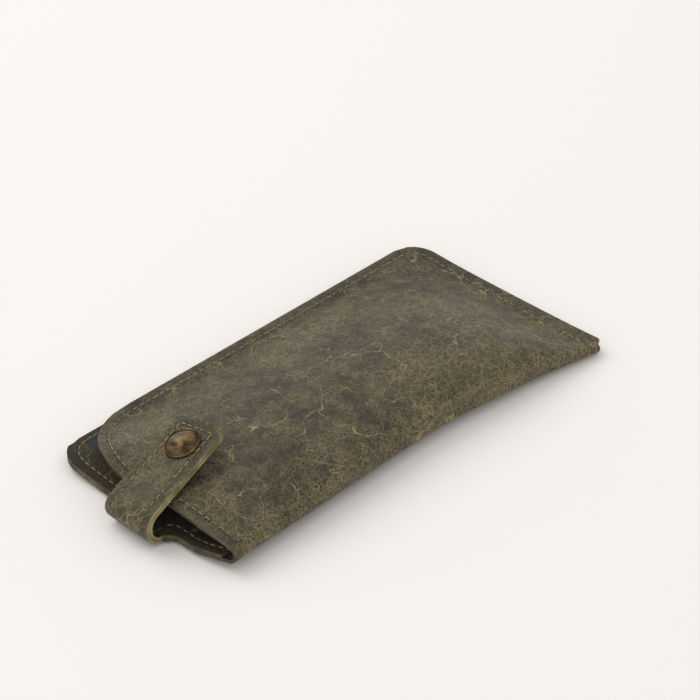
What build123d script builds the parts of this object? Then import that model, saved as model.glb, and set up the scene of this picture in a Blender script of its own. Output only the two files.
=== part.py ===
from build123d import *
import os
from math import asin, cos, degrees, pi, radians, sin, sqrt

# Soft leather pouch case for glasses, with a strap that snaps over its mouth.
#
# Units are millimetres. The pouch lies on its back panel. +X runs from the mouth to the closed end, +Y from the
# folded side to the sewn side, and +Z up. The origin is the centre of the footprint, on the resting plane.
#
# One cut of leather makes the front panel, the fold, the back panel and the strap. A black lining is bonded inside.
# A leather facing backs the strap and the mouth of the back panel. Lockstitch rows join the plies, and a press stud
# of the ring and post kind holds the strap. The strap is cut at two bending lines, which carry the hinges.

# Overall sizes
CASE_LENGTH = 168.0  # back panel, mouth edge to closed end
CASE_WIDTH = 86.0  # fold to sewn edge, at the closed end
LEATHER = 1.2
LINING = 0.5
FACING = 1.1
PLY_GAP = 0.05  # glue line between two plies
SEAM_MARGIN = 5.0  # flat band outside the filled-out panel

# Filled-out shape of the panels
RIM_MID_HEIGHT = 4.2  # middle of the sewn rim above the resting plane
RIM_HALF = 1.8  # half the stack of four plies at the rim
FOLD_EXTRA = 0.9  # the fold is rounder than the sewn rim, a little less so at the closed end
FOLD_ROUND_SHARE = 0.036  # share of the width over which the fold turns
CREST_SHARE = 0.26  # where the front panel is highest, as a share of the width from the fold
FOLD_POWER = 2.2  # squareness of the side by the fold
FOLD_POWER_MOUTH = 1.25  # at the mouth the front panel runs down to the fold almost straight
RISE_MOUTH = 5.4  # front panel's rise above the rim, at the mouth
RISE_FULL = 11.2  # and where it is fullest
RISE_RUN = 50.0  # length over which it rises
END_RUN = 46.0  # length over which it falls to the closed end
BACK_DROP = 2.7  # back panel's fall below the rim, at the belly
BACK_DROP_MOUTH = 1.4
BACK_PLATEAU = 0.24  # share of the width over which the back panel falls, on each side
FOLD_BOW_MOUTH = 3.4  # the fold is drawn in by this much at the mouth
FOLD_BOW_GAIN = 0.03  # and by this much more for each millimetre away from it,
FOLD_BOW_LOSS = 0.09  # until it runs out again to the corner of the closed end
FOLD_BOW_BLEND = 1.2
FOLD_LIFT = 2.0  # the fold stands off the table at the mouth
END_DROOP = 1.6  # the closed end sinks towards the table
DROOP_FROM = 112.0
LOBE_LIFT = 3.0  # the front panel's free corner stands up,
LOBE_RUN = 36.0  # over this length from the mouth
LOBE_FROM = 0.55  # and from this share of the width
SEAM_SOFTNESS = 0.08

# Outlines
FRONT_SETBACK = 2.0  # front panel's mouth edge behind the back panel's
FOLD_SETBACK = 3.0  # both mouth edges at the fold, where they meet
SLANT_FROM = -24.0  # y at which the mouth edges start to run back to the fold
FRONT_CORNER = 32.0  # radius of the front panel's free corner
BACK_CORNER = 11.0
END_CORNER = 10.0
FOLD_CORNER = 2.0

# Strap
STRAP_WIDTH = 20.0
STRAP_Y = -2.7  # centre of the strap's root
STRAP_RUN = 3.6  # straight stretch before it bends
STRAP_RADIUS = 5.7  # outer radius of the bend
STRAP_PITCH = 17.5  # slope of the strap's end above the horizontal, degrees
STRAP_SKEW = 7.0  # turn of the strap's end from the case's axis, degrees
STRAP_ROLL = 8.0  # twist of the strap's end, degrees
STRAP_END_LENGTH = 36.0  # straight stretch after the bend
STRAP_CORNER = 4.0
ROOT_FILLET = 5.0
HINGE_GAP = 0.1  # half the cut between two lengths of strap

# Press stud
SNAP_ALONG = 25.5  # from the end of the bend to the press stud
CAP_RADIUS = 6.25
CAP_DOME = 1.5
CAP_RIM = 0.7
SOCKET_RADIUS = 4.9
SOCKET_HEIGHT = 2.1
SOCKET_LIP = 0.4
SOCKET_FLOOR = 0.3
CLINCH = 0.1  # how far the cap's barrel is spread below the socket's floor
BULB_RADIUS = 1.75
BULB_NECK = 1.35
BULB_HEIGHT = 1.4
STUD_BASE_RADIUS = 4.6
STUD_BASE = 0.4
SNAP_PLAY = 0.4  # free space between the bulb and the socket
POST_RADIUS = 1.1
POST_FLANGE_RADIUS = 4.4
POST_FLANGE = 0.5
WASHER_RADIUS = 5.4
WASHER = 0.6
SPRING_WIRE = 0.3
BARREL_RADIUS = 1.2

# Thread
THREAD = 0.6
STITCH = 3.0
STITCH_INSET = 3.6
STRAP_INSET = 3.2
STRAP_LEG = 0.5  # short legs, because the strap is bent
CUT_CLEAR = 1.3  # from the last stitch to the cut at a hinge
SEAM_START = FRONT_SETBACK + FRONT_CORNER  # first stitch of the seam, from the mouth
BACK_ROW_END = 17.0  # last stitch of the back panel's own row, where the front panel begins to cover it

BEND_TURN = 180.0 - STRAP_PITCH
PLY_STACK = LEATHER + PLY_GAP
LINED = PLY_STACK + LINING
FACED = PLY_STACK + FACING
STRAP_REACH = STRAP_RUN + STRAP_RADIUS
MOUTH_X = -(CASE_LENGTH + STRAP_REACH) / 2 + STRAP_REACH
HALF_WIDTH = CASE_WIDTH / 2
SKIN_STEPS = 30  # for each panel's width
LINING_STEPS = 12
STATION_GAP = 5.5
STATIONS = [STATION_GAP * i - 1.0 for i in range(32)]
FACING_STATIONS = STATIONS[:3]
FACING_DEPTH = FACING_STATIONS[-1]  # from the mouth edge into the pouch


# --- shape of the panels: x is measured from the mouth edge, q from 0 at the fold to 1 at the sewn edge ---


def softened(share):
    """A share from 0 to 1 that leaves 0 gently."""
    full = sqrt(1 + SEAM_SOFTNESS**2) - SEAM_SOFTNESS
    return (sqrt(share * share + SEAM_SOFTNESS**2) - SEAM_SOFTNESS) / full


def clamp(value):
    return min(max(value, 0.0), 1.0)


def rise(x):
    """Height of the front panel's crest above the rim."""
    opened = 1 - (1 - clamp(x / RISE_RUN)) ** 2
    closing = 1 - (1 - softened(clamp((CASE_LENGTH - SEAM_MARGIN - x) / END_RUN))) ** 2
    return (RISE_MOUTH + (RISE_FULL - RISE_MOUTH) * opened) * closing


def drop(x):
    """Fall of the back panel below the rim."""
    settled = 1 - (1 - clamp(x / RISE_RUN)) ** 2
    closing = 1 - (1 - softened(clamp((CASE_LENGTH - SEAM_MARGIN - x) / END_RUN))) ** 2
    return (BACK_DROP_MOUTH + (BACK_DROP - BACK_DROP_MOUTH) * settled) * closing


def off_end(x):
    """Share that is 1 at the mouth and 0 at the closed end."""
    return 1 - clamp(x / CASE_LENGTH) ** 3


def mid_height(x, q):
    """Height of the middle of the rim. The fold stands off the table, and the closed end sinks to it."""
    lift = FOLD_LIFT * (1 - q) ** 8 * off_end(x)
    sunk = END_DROOP * clamp((x - DROOP_FROM) / (CASE_LENGTH - DROOP_FROM)) ** 2 * (1 - q**6)
    return RIM_MID_HEIGHT + lift - sunk


def fold_y(x):
    """The fold line, drawn in most just past the middle of the pouch."""
    gain = FOLD_BOW_MOUTH + FOLD_BOW_GAIN * x
    loss = FOLD_BOW_LOSS * (CASE_LENGTH - x)
    return -HALF_WIDTH + (gain + loss - sqrt((gain - loss) ** 2 + FOLD_BOW_BLEND**2)) / 2


def mouth_slant(y):
    """Share of the way back to the fold that the mouth edges have at y."""
    return clamp((SLANT_FROM - y) / (SLANT_FROM - fold_y(0)))


def from_seam(q, x):
    """Share of the way from the stitch line to the crest."""
    width = HALF_WIDTH - fold_y(x)
    reach = width * (1 - CREST_SHARE) - SEAM_MARGIN
    return softened(clamp((width * (1 - q) - SEAM_MARGIN) / reach))


def front_share(q, x):
    """Share of the rise that the front panel has at q."""
    if q < CREST_SHARE:
        power = FOLD_POWER_MOUTH + (FOLD_POWER - FOLD_POWER_MOUTH) * clamp(x / RISE_RUN)
        return (1 - (1 - q / CREST_SHARE) ** power) ** (1 / power)
    return 1 - (1 - from_seam(q, x)) ** 2


def back_share(q):
    """Share of the fall that the back panel has at q."""
    side = clamp(min(q, 1 - SEAM_MARGIN / CASE_WIDTH - q) / BACK_PLATEAU)
    return side * side * (3 - 2 * side)


def lobe(x, q):
    """How far the front panel's free corner stands up."""
    along, across = clamp(1 - x / LOBE_RUN), clamp((q - LOBE_FROM) / 0.35)
    return LOBE_LIFT * along**2 * (3 - 2 * along) * across**2 * (3 - 2 * across)


def half_stack(x, q):
    """Half the thickness of the folded plies."""
    turned = clamp(q / FOLD_ROUND_SHARE)
    return (RIM_HALF + FOLD_EXTRA * (1 - q) ** 8 * (3 + off_end(x)) / 4) * sqrt(1 - (1 - turned) ** 2)


def skin(x, t):
    """Point (y, z) of the outer skin. t runs from -1, the back panel's sewn edge, by 0, the fold, to 1."""
    q = abs(t) ** 2.2
    y = fold_y(x) + q * (HALF_WIDTH - fold_y(x))
    if t < 0:
        return y, mid_height(x, q) - half_stack(x, q) - drop(x) * back_share(q)
    return y, mid_height(x, q) + half_stack(x, q) + rise(x) * front_share(q, x) + lobe(x, q)


def ply(x, t, depth):
    """Point (y, z) at a depth under the outer skin."""
    step = 0.004
    y0, z0 = skin(x, max(t - step, -1))
    y1, z1 = skin(x, min(t + step, 1))
    length = sqrt((y1 - y0) ** 2 + (z1 - z0) ** 2)
    y, z = skin(x, t)
    return y + depth * (z1 - z0) / length, z - depth * (y1 - y0) / length


def front_top(x, y):
    """Height of the front panel's outer skin at (x, y)."""
    q = (y - fold_y(x)) / (HALF_WIDTH - fold_y(x))
    return skin(x, clamp(q) ** (1 / 2.2))[1]


def back_under(x, y):
    """Height of the back panel's outer skin at (x, y)."""
    q = (y - fold_y(x)) / (HALF_WIDTH - fold_y(x))
    return skin(x, -(clamp(q) ** (1 / 2.2)))[1]


def section(x, t_from, t_to, outer, inner, fineness):
    """Closed wire across one ply between two depths, in the plane at x."""
    count = round(fineness * (t_to - t_from))
    steps = [t_from + (t_to - t_from) * i / count for i in range(count + 1)]
    outside = [Vector(MOUTH_X + x, *ply(x, t, outer)) for t in steps]
    inside = [Vector(MOUTH_X + x, *ply(x, t, inner)) for t in reversed(steps)]
    edges = [
        Edge.make_spline(outside),
        Edge.make_line(outside[-1], inside[0]),
        Edge.make_spline(inside),
        Edge.make_line(inside[-1], outside[0]),
    ]
    return Wire(edges)


def ply_solid(stations, t_from, t_to, outer, inner, fineness=SKIN_STEPS):
    """One ply of the pouch, lofted along the case."""
    return Solid.make_loft([section(x, t_from, t_to, outer, inner, fineness) for x in stations], ruled=True)


# --- outlines cut from the lofted plies ---


def prism(points_and_arcs, z_low, z_high):
    """Vertical prism over a closed plan outline of lines and three-point arcs."""
    edges = []
    for piece in points_and_arcs:
        corners = [Vector(MOUTH_X + x, y, z_low) for x, y in piece]
        edges.append(Edge.make_line(*corners) if len(corners) == 2 else Edge.make_three_point_arc(*corners))
    return extrude(Face(Wire(edges)), amount=z_high - z_low, dir=(0, 0, 1))


def mouth_waste(setback, corner, z_low, z_high):
    """What is cut away outside a panel's mouth edge and its free corner."""
    far, wide = -40.0, 60.0
    turn = corner * (1 - sin(pi / 4))
    seam = HALF_WIDTH + 0.02
    return prism(
        [
            [(far, -wide), (FOLD_SETBACK, -wide)],
            [(FOLD_SETBACK, -wide), (FOLD_SETBACK, fold_y(0))],
            [(FOLD_SETBACK, fold_y(0)), (setback, SLANT_FROM)],
            [(setback, SLANT_FROM), (setback, seam - corner)],
            [(setback, seam - corner), (setback + turn, seam - turn), (setback + corner, seam)],
            [(setback + corner, seam), (setback + corner, wide)],
            [(setback + corner, wide), (far, wide)],
            [(far, wide), (far, -wide)],
        ],
        z_low,
        z_high,
    )


def end_waste():
    """What is cut away outside the closed end and its two corners."""
    far, wide, high = CASE_LENGTH + 20, 60.0, 40.0
    sewn = END_CORNER * (1 - sin(pi / 4))
    folded = FOLD_CORNER * (1 - sin(pi / 4))
    length = CASE_LENGTH
    seam = HALF_WIDTH + 0.02
    return prism(
        [
            [(length - FOLD_CORNER, -wide), (length - FOLD_CORNER, -seam)],
            [(length - FOLD_CORNER, -seam), (length - folded, -seam + folded), (length, -seam + FOLD_CORNER)],
            [(length, -seam + FOLD_CORNER), (length, seam - END_CORNER)],
            [(length, seam - END_CORNER), (length - sewn, seam - sewn), (length - END_CORNER, seam)],
            [(length - END_CORNER, seam), (length - END_CORNER, wide)],
            [(length - END_CORNER, wide), (far, wide)],
            [(far, wide), (far, -wide)],
            [(far, -wide), (length - FOLD_CORNER, -wide)],
        ],
        -high,
        high,
    )


# --- strap: a strip that leaves the mouth edge, bends back and lies over the front panel ---


def unit(vector):
    return vector * (1 / vector.length)


SKEW = radians(STRAP_SKEW / 2)
FOLD_X = Vector(cos(SKEW), sin(SKEW), 0)
FOLD_Y = Vector(-sin(SKEW), cos(SKEW), 0)
UP = Vector(0, 0, 1)
BEND_LENGTH = STRAP_RADIUS * radians(BEND_TURN) / cos(SKEW)
BEND_END = STRAP_RUN + BEND_LENGTH
STRAP_LENGTH = BEND_END + STRAP_END_LENGTH


def strap_frame(s):
    """Point on the strap's outer face, outward normal, heading and width direction, s along the strap."""
    turn = clamp((s - STRAP_RUN) / BEND_LENGTH) * radians(BEND_TURN)
    heading = (UP * sin(turn) - FOLD_X * cos(turn)) * cos(SKEW) + FOLD_Y * sin(SKEW)
    normal = FOLD_X * (-sin(turn)) - UP * cos(turn)
    start = Vector(MOUTH_X, STRAP_Y, back_under(0, STRAP_Y))
    level = (FOLD_X * (-cos(SKEW))) + FOLD_Y * sin(SKEW)
    point = start + level * min(s, STRAP_RUN)
    if s > STRAP_RUN:
        centre = point + UP * STRAP_RADIUS
        point = centre + normal * STRAP_RADIUS + FOLD_Y * (sin(SKEW) * (min(s, BEND_END) - STRAP_RUN))
    if s > BEND_END:
        point = point + heading * (s - BEND_END)
    roll = radians(STRAP_ROLL) * turn / radians(BEND_TURN)
    across = normal.cross(heading)
    width = across * cos(roll) - normal * sin(roll)
    normal = normal * cos(roll) + across * sin(roll)
    return point, normal, heading, width


def strap_section(s, outer, inner, half=STRAP_WIDTH / 2):
    """Closed wire across the strap between two depths under its outer face."""
    point, normal, _, width = strap_frame(s)
    corners = [
        point + width * half - normal * outer,
        point - width * half - normal * outer,
        point - width * half - normal * inner,
        point + width * half - normal * inner,
    ]
    return Wire([Edge.make_line(corners[i], corners[(i + 1) % 4]) for i in range(4)])


def strap_strip(s_from, s_to, outer, inner):
    """One ply of the strap between two places along it."""
    steps = max(2, round((s_to - s_from) / 1.3))
    places = [s_from + (s_to - s_from) * i / steps for i in range(steps + 1)]
    return Solid.make_loft([strap_section(s, outer, inner) for s in places])


def hinge_place(share):
    return STRAP_RUN + BEND_LENGTH * share


LOWER_HINGE = hinge_place(0.25)
UPPER_HINGE = hinge_place(0.75)


def strap_flat(outer, inner):
    """The straight end of one ply of the strap, with its two rounded corners."""
    length, half = STRAP_END_LENGTH, STRAP_WIDTH / 2
    point, normal, heading, width = strap_frame(BEND_END)
    r = STRAP_CORNER
    k = r * (1 - sin(pi / 4))

    def at(u, v):
        return point - normal * inner + heading * u + width * v

    edges = [
        Edge.make_line(at(0, -half), at(length - r, -half)),
        Edge.make_three_point_arc(at(length - r, -half), at(length - k, -half + k), at(length, -half + r)),
        Edge.make_line(at(length, -half + r), at(length, half - r)),
        Edge.make_three_point_arc(at(length, half - r), at(length - k, half - k), at(length - r, half)),
        Edge.make_line(at(length - r, half), at(0, half)),
        Edge.make_line(at(0, half), at(0, -half)),
    ]
    return extrude(Face(Wire(edges)), amount=inner - outer, dir=tuple(normal))


def strap_root(outer, inner):
    """The strap's root: its flare out of the mouth edge and the first quarter of the bend."""
    strip = strap_strip(-1.0, LOWER_HINGE - HINGE_GAP, outer, inner)
    half, r, low = STRAP_WIDTH / 2, ROOT_FILLET, back_under(0, STRAP_Y)
    inside = 1.0
    turn = r * (1 - sin(pi / 4))
    flares = []
    for side in (1, -1):
        edge = STRAP_Y + side * (half - 0.02)
        outline = [
            [(inside, edge), (-STRAP_RUN, edge)],
            [(-STRAP_RUN, edge), (-turn * STRAP_RUN / r, edge + side * turn), (0, edge + side * r)],
            [(0, edge + side * r), (inside, edge + side * r)],
            [(inside, edge + side * r), (inside, edge)],
        ]
        flares.append(prism(outline, low + outer, low + inner))
    return strip + flares[0] + flares[1]


# --- press stud ---


SNAP_S = BEND_END + SNAP_ALONG
SNAP_POINT, SNAP_NORMAL, SNAP_HEADING, _ = strap_frame(SNAP_S)


def snap_plane(below):
    """Plane across the press stud, at a depth below the strap's outer face."""
    return Plane(origin=SNAP_POINT - SNAP_NORMAL * below, x_dir=SNAP_HEADING, z_dir=SNAP_NORMAL)


def turned(profile):
    """Solid turned about the press stud's axis from (radius, height) points, heights from the outer face."""
    plane = Plane(origin=SNAP_POINT, x_dir=SNAP_HEADING, z_dir=unit(SNAP_HEADING.cross(SNAP_NORMAL)))
    flip = 1 if plane.y_dir.dot(SNAP_NORMAL) > 0 else -1
    corners = [plane.from_local_coords(Vector(radius, height * flip, 0)) for radius, height in profile]
    face = Face(Wire.make_polygon(corners, close=True))
    axis = Axis(SNAP_POINT, SNAP_NORMAL)
    return Solid.revolve(face, 360, axis)


def arc_profile(radius, rise_at_centre, base, steps=8):
    """Points of a dome's meridian, from its rim to its crown."""
    ball = (radius**2 + rise_at_centre**2) / (2 * rise_at_centre)
    half = asin(radius / ball)
    drop_to_rim = ball * cos(half)
    points = []
    for i in range(steps + 1):
        angle = half * (1 - i / steps)
        points.append((ball * sin(angle), base + ball * cos(angle) - drop_to_rim))
    return points


SOCKET_TOP = -FACED  # the socket hangs under the strap's facing
SOCKET_FOOT = SOCKET_TOP - SOCKET_HEIGHT
STUD_TOP = SOCKET_FOOT - 0.1  # upper face of the stud's base
STUD_FOOT = STUD_TOP - STUD_BASE
PANEL_HOLE = POST_RADIUS + 0.35


def snap_cap():
    """Domed cap with a turned-under rim and the barrel that is clinched in the socket."""
    dome = arc_profile(CAP_RADIUS, CAP_DOME, CAP_RIM)
    skirt = [(CAP_RADIUS, 0.02), (CAP_RADIUS - 0.9, 0.02), (CAP_RADIUS - 0.9, 0.45), (BARREL_RADIUS, 0.45)]
    foot = SOCKET_TOP - SOCKET_FLOOR - CLINCH
    barrel = [(BARREL_RADIUS, foot), (0.7, foot), (0.7, 0.6), (0, 0.6)]
    return turned(dome[::-1] + skirt + barrel)


def snap_socket():
    """Ring that takes the stud, open below, with its floor clinched by the cap's barrel."""
    inner, lip = SOCKET_RADIUS - 1.2, BULB_RADIUS + SNAP_PLAY
    profile = [
        (BARREL_RADIUS + 0.03, SOCKET_TOP - 0.02),
        (SOCKET_RADIUS, SOCKET_TOP - 0.02),
        (SOCKET_RADIUS, SOCKET_FOOT + 0.3),
        (SOCKET_RADIUS - 0.3, SOCKET_FOOT),
        (lip, SOCKET_FOOT),
        (lip, SOCKET_FOOT + SOCKET_LIP),
        (inner, SOCKET_FOOT + SOCKET_LIP),
        (inner, SOCKET_TOP - SOCKET_FLOOR),
        (BARREL_RADIUS + 0.03, SOCKET_TOP - SOCKET_FLOOR),
    ]
    return turned(profile)


def snap_spring():
    """Two spring wires in the socket, one each side of the stud's neck."""
    wires = []
    for side in (1, -1):
        plane = snap_plane(-SOCKET_FOOT - SOCKET_LIP - SPRING_WIRE - 0.05)
        start = plane.from_local_coords(Vector(-2.4, side * (BULB_RADIUS + 0.62), 0))
        wire = Solid.make_cylinder(SPRING_WIRE, 4.8, Plane(origin=start, z_dir=plane.x_dir))
        wires.append(wire)
    return Compound(children=wires)


def snap_stud():
    """Stud: a flat base and a bulb that enters the socket."""
    top = STUD_TOP + BULB_HEIGHT
    profile = [
        (POST_RADIUS + 0.02, STUD_FOOT),
        (STUD_BASE_RADIUS, STUD_FOOT),
        (STUD_BASE_RADIUS, STUD_TOP - 0.1),
        (STUD_BASE_RADIUS - 0.1, STUD_TOP),
        (BULB_NECK, STUD_TOP),
        (BULB_NECK, STUD_TOP + BULB_HEIGHT * 0.3),
        (BULB_RADIUS, STUD_TOP + BULB_HEIGHT * 0.55),
        (BULB_RADIUS, STUD_TOP + BULB_HEIGHT * 0.75),
        (BULB_NECK, top),
        (0, top),
        (0, top - 0.35),
        (POST_RADIUS + 0.02, top - 0.35),
    ]
    return turned(profile)


def panel_depth_at_snap():
    """Distance along the press stud's axis from the strap's outer face down to the front panel's skin."""
    depth = FACED
    while depth < 40:
        point = SNAP_POINT - SNAP_NORMAL * depth
        if point.Z < front_top(point.X - MOUTH_X, point.Y):
            return depth
        depth += 0.01
    raise ValueError("the press stud misses the front panel")


PANEL_DEPTH = panel_depth_at_snap()
PANEL_INSIDE = -PANEL_DEPTH - LINED - 0.75  # under the lining, clear of the panel's slope across the washer


def snap_washer():
    """Stiff washer between the lining and the post's flange."""
    low = PANEL_INSIDE - WASHER
    inner = POST_RADIUS + 0.1
    profile = [(inner, PANEL_INSIDE), (WASHER_RADIUS, PANEL_INSIDE), (WASHER_RADIUS, low), (inner, low)]
    return turned(profile)


def snap_post():
    """Post riveted through the front panel into the stud, with a round flange inside the pouch."""
    top = STUD_TOP + BULB_HEIGHT - 0.4
    flange = PANEL_INSIDE - WASHER - 0.02
    profile = [
        (0, top),
        (POST_RADIUS, top),
        (POST_RADIUS, flange),
        (POST_FLANGE_RADIUS, flange),
        (POST_FLANGE_RADIUS, flange - 0.3),
        (POST_FLANGE_RADIUS - 0.4, flange - POST_FLANGE),
        (0, flange - POST_FLANGE),
    ]
    return turned(profile)


def axis_cylinder(radius, high, low):
    """Cylinder on the press stud's axis, for the holes it passes through."""
    return Solid.make_cylinder(radius, high - low, snap_plane(-low))


# --- lockstitch rows ---


def staple(pitch, legs):
    """One stitch along X: a bar of thread on the surface, with a leg down into each needle hole."""
    reach = pitch - THREAD * 0.6
    radius = THREAD / 2
    bar = Solid.make_cylinder(radius, reach, Plane(origin=(-reach / 2, 0, radius * 0.4), z_dir=(1, 0, 0)))
    for side in (1, -1):
        place = (side * (reach / 2 - radius * 0.7), 0, -legs)
        bar = bar + Solid.make_cylinder(radius * 0.7, legs + radius * 0.6, Plane(origin=place, z_dir=(0, 0, 1)))
    return bar


def row_of_stitches(points_and_normals, legs):
    """Stitches laid end to end along a run of (point, outward normal)."""
    patterns = {}
    stitches = []
    for (a, normal_a), (b, normal_b) in zip(points_and_normals, points_and_normals[1:]):
        along = unit(b - a)
        normal = unit(normal_a + normal_b)
        normal = unit(normal - along * normal.dot(along))
        place = Plane(origin=(a + b) * 0.5, x_dir=along, z_dir=normal)
        pitch = round((b - a).length, 2)
        if pitch not in patterns:
            patterns[pitch] = staple(pitch, legs)
        stitches.append(patterns[pitch].moved(Location(place)))
    return Compound(children=stitches)


def spaced(path, start=0.0, end=None):
    """Plan points a stitch apart along a path, which is a list of plan points."""
    lengths = [0.0]
    for (x0, y0), (x1, y1) in zip(path, path[1:]):
        lengths.append(lengths[-1] + sqrt((x1 - x0) ** 2 + (y1 - y0) ** 2))
    end = lengths[-1] if end is None else end
    count = max(1, round((end - start) / STITCH))
    found = []
    for i in range(count + 1):
        want = start + (end - start) * i / count
        j = max(k for k in range(len(lengths) - 1) if lengths[k] <= want + 1e-9)
        share = (want - lengths[j]) / (lengths[j + 1] - lengths[j])
        (x0, y0), (x1, y1) = path[j], path[j + 1]
        found.append((x0 + (x1 - x0) * share, y0 + (y1 - y0) * share))
    return found


def corner_path(centre, radius, angle_from, angle_to, steps=12):
    """Plan points along a corner's arc, angles in degrees."""
    points = []
    for i in range(steps + 1):
        angle = radians(angle_from + (angle_to - angle_from) * i / steps)
        points.append((centre[0] + radius * cos(angle), centre[1] + radius * sin(angle)))
    return points


def on_panel(plan_points, height, lift, up):
    """(point, normal) on a panel's surface for each plan point. lift raises the surface along z."""
    found = []
    for x, y in plan_points:
        step = 0.2
        slope_x = (height(x + step, y) - height(x - step, y)) / (2 * step)
        slope_y = (height(x, y + step) - height(x, y - step)) / (2 * step)
        normal = unit(Vector(-slope_x, -slope_y, 1))
        found.append((Vector(MOUTH_X + x, y, height(x, y)) + normal * lift, normal if up else normal * -1))
    return found


SEAM_Y = HALF_WIDTH - STITCH_INSET
SEAM_PATH = (
    [(SEAM_START, SEAM_Y)]
    + corner_path((CASE_LENGTH - END_CORNER, HALF_WIDTH - END_CORNER), END_CORNER - STITCH_INSET, 90, 0)
    + [(CASE_LENGTH - STITCH_INSET, -HALF_WIDTH + 4.5)]
)
FRONT_ROW_FROM = fold_y(0) + 5.0
BACK_ROW_FROM = fold_y(0) + 4.0
FRONT_SLANT = (FOLD_SETBACK - FRONT_SETBACK) * mouth_slant(FRONT_ROW_FROM)
BACK_SLANT = FOLD_SETBACK * mouth_slant(BACK_ROW_FROM)
FRONT_MOUTH_PATH = (
    [(FRONT_SETBACK + STITCH_INSET + FRONT_SLANT, FRONT_ROW_FROM), (FRONT_SETBACK + STITCH_INSET, SLANT_FROM)]
    + corner_path((FRONT_SETBACK + FRONT_CORNER, HALF_WIDTH - FRONT_CORNER), FRONT_CORNER - STITCH_INSET, 180, 90)
    + [(SEAM_START - 1.0, SEAM_Y)]
)
BACK_MOUTH_FOLD_PATH = [
    (STITCH_INSET + BACK_SLANT, BACK_ROW_FROM),
    (STITCH_INSET, SLANT_FROM),
    (STITCH_INSET, STRAP_Y - STRAP_WIDTH / 2 + STITCH_INSET - 0.6),
    (1.0, STRAP_Y - STRAP_WIDTH / 2 + STITCH_INSET),
]
BACK_MOUTH_SEAM_PATH = (
    [(1.0, STRAP_Y + STRAP_WIDTH / 2 - STITCH_INSET)]
    + [(STITCH_INSET, STRAP_Y + STRAP_WIDTH / 2 - STITCH_INSET + 0.6)]
    + corner_path((BACK_CORNER, HALF_WIDTH - BACK_CORNER), BACK_CORNER - STITCH_INSET, 180, 90)
    + [(BACK_ROW_END, SEAM_Y)]
)


def strap_row(s_from, s_to, side, depth):
    """(point, normal) run along one side of the strap; depth 0 is the outer face, FACED the facing's."""
    count = max(1, round((s_to - s_from) / STITCH))
    inset = STRAP_WIDTH / 2 - STRAP_INSET
    found = []
    for i in range(count + 1):
        point, normal, _, width = strap_frame(s_from + (s_to - s_from) * i / count)
        place = point + width * (side * inset) - normal * depth
        found.append((place, normal if depth == 0 else normal * -1))
    return found


def strap_stitches(s_from, s_to, depth):
    """Both rows of one length of the strap."""
    rows = [row_of_stitches(strap_row(s_from, s_to, side, depth), STRAP_LEG) for side in (1, -1)]
    return Compound(children=rows)


def strap_end_stitches(depth):
    """The rows along the strap's end and across its tip."""
    inset = STRAP_INSET
    last = STRAP_LENGTH - inset
    first = UPPER_HINGE + CUT_CLEAR
    rows = [row_of_stitches(strap_row(first, last, side, depth), STRAP_LEG) for side in (1, -1)]
    point, normal, _, width = strap_frame(last)
    half = STRAP_WIDTH / 2 - inset
    count = round(2 * half / STITCH)
    outward = normal if depth == 0 else normal * -1
    tip = [(point + width * (half - 2 * half * i / count) - normal * depth, outward) for i in range(count + 1)]
    rows.append(row_of_stitches(tip, STRAP_LEG))
    return Compound(children=rows)


# --- assembly ---


def pouch_plies():
    """Outer shell with the strap's root, the lining, and the facing of the back panel's mouth."""
    high = 60.0
    mouth_front = mouth_waste(FRONT_SETBACK, FRONT_CORNER, RIM_MID_HEIGHT, high)
    mouth_back = mouth_waste(0.0, BACK_CORNER, -high, RIM_MID_HEIGHT)
    end = end_waste()
    table = Solid.make_box(400, 400, 20, Plane(origin=(-200, -200, -20)))
    post_hole = axis_cylinder(PANEL_HOLE, -PANEL_DEPTH + 3, -PANEL_DEPTH - 8)

    shell = ply_solid(STATIONS, -1, 1, 0, LEATHER)
    shell = shell - mouth_front - mouth_back - end - table - post_hole
    shell = shell + strap_root(0, LEATHER)

    lining = ply_solid(STATIONS, -1, 1, PLY_STACK, LINED, LINING_STEPS)
    facing_room = prism(
        [
            [(-5, -60), (FACING_DEPTH + 0.1, -60)],
            [(FACING_DEPTH + 0.1, -60), (FACING_DEPTH + 0.1, 60)],
            [(FACING_DEPTH + 0.1, 60), (-5, 60)],
            [(-5, 60), (-5, -60)],
        ],
        -high,
        RIM_MID_HEIGHT,
    )
    lining = lining - mouth_front - facing_room - end - post_hole

    facing = ply_solid(FACING_STATIONS, -1, -0.3, PLY_STACK, FACED)
    facing = facing - mouth_waste(0.0, BACK_CORNER, -high, high)
    facing = facing + strap_root(PLY_STACK, FACED)
    return shell, lining, facing


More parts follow.
